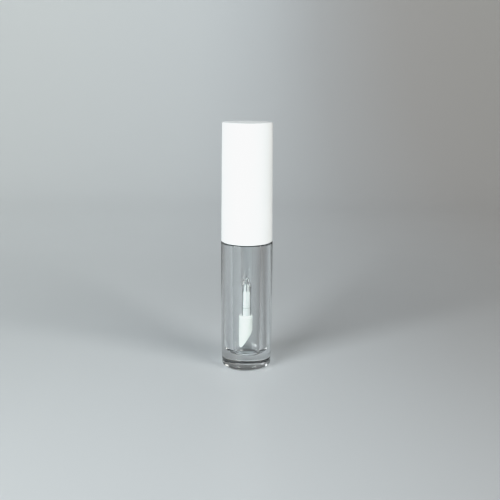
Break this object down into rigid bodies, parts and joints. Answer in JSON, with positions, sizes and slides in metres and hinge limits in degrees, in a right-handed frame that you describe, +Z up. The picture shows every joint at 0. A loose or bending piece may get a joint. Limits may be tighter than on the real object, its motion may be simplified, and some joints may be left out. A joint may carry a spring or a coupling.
{
  "type": "lip gloss tube",
  "caption": "Clear thick-walled lip gloss bottle with a tall white screw cap that carries a clear wand and a slanted flocked applicator.",
  "frame": {"origin": "centre of the ring that the bottle stands on, on the common axis of bottle and cap", "axes": "+Z up along the tube from the bottle's base to the cap's top; +X is the side that the applicator's slanted face looks to"},
  "size_m": [0.0172, 0.0172, 0.0822],
  "materials": {
    "bottle_clear": "clear injection-moulded PETG, polished",
    "cap_white": "white injection-moulded ABS, gloss",
    "liner_natural": "natural injection-moulded polypropylene, satin",
    "wiper_natural": "soft natural low-density polyethylene, milky",
    "washer_foam": "foamed polyethylene sheet, matt",
    "wand_clear": "clear injection-moulded styrene acrylonitrile, polished",
    "applicator_white": "white injection-moulded nylon, satin",
    "flock_white": "white nylon flock, dense short pile"
  },
  "bodies": {
    "bottle": {"bottle": "bottle_clear", "wiper": "wiper_natural"},
    "washer": {"sealing_washer": "washer_foam"},
    "wand": {"wand_rod": "wand_clear"},
    "cap": {"outer_cap": "cap_white", "inner_cap": "liner_natural", "applicator_core": "applicator_white", "applicator_flock": "flock_white"}
  },
  "joints": [
    {"name": "cap_lift", "type": "slide", "parent": "bottle", "child": "washer", "axis": [0, 0, 1], "range_m": [0, 0.06], "deforming": ["applicator_flock"]},
    {"name": "screw_rise", "type": "slide", "parent": "washer", "child": "wand", "axis": [0, 0, 1], "range_m": [0, 0.00376]},
    {"name": "cap_turn", "type": "hinge", "parent": "wand", "child": "cap", "pos_m": [0, 0, 0.06], "axis": [0, 0, 1], "range_deg": [0, 540]}
  ],
  "couplings": [
    {"joint": "screw_rise", "follows": "cap_turn", "m_per_rad": 0.00039789}
  ]
}
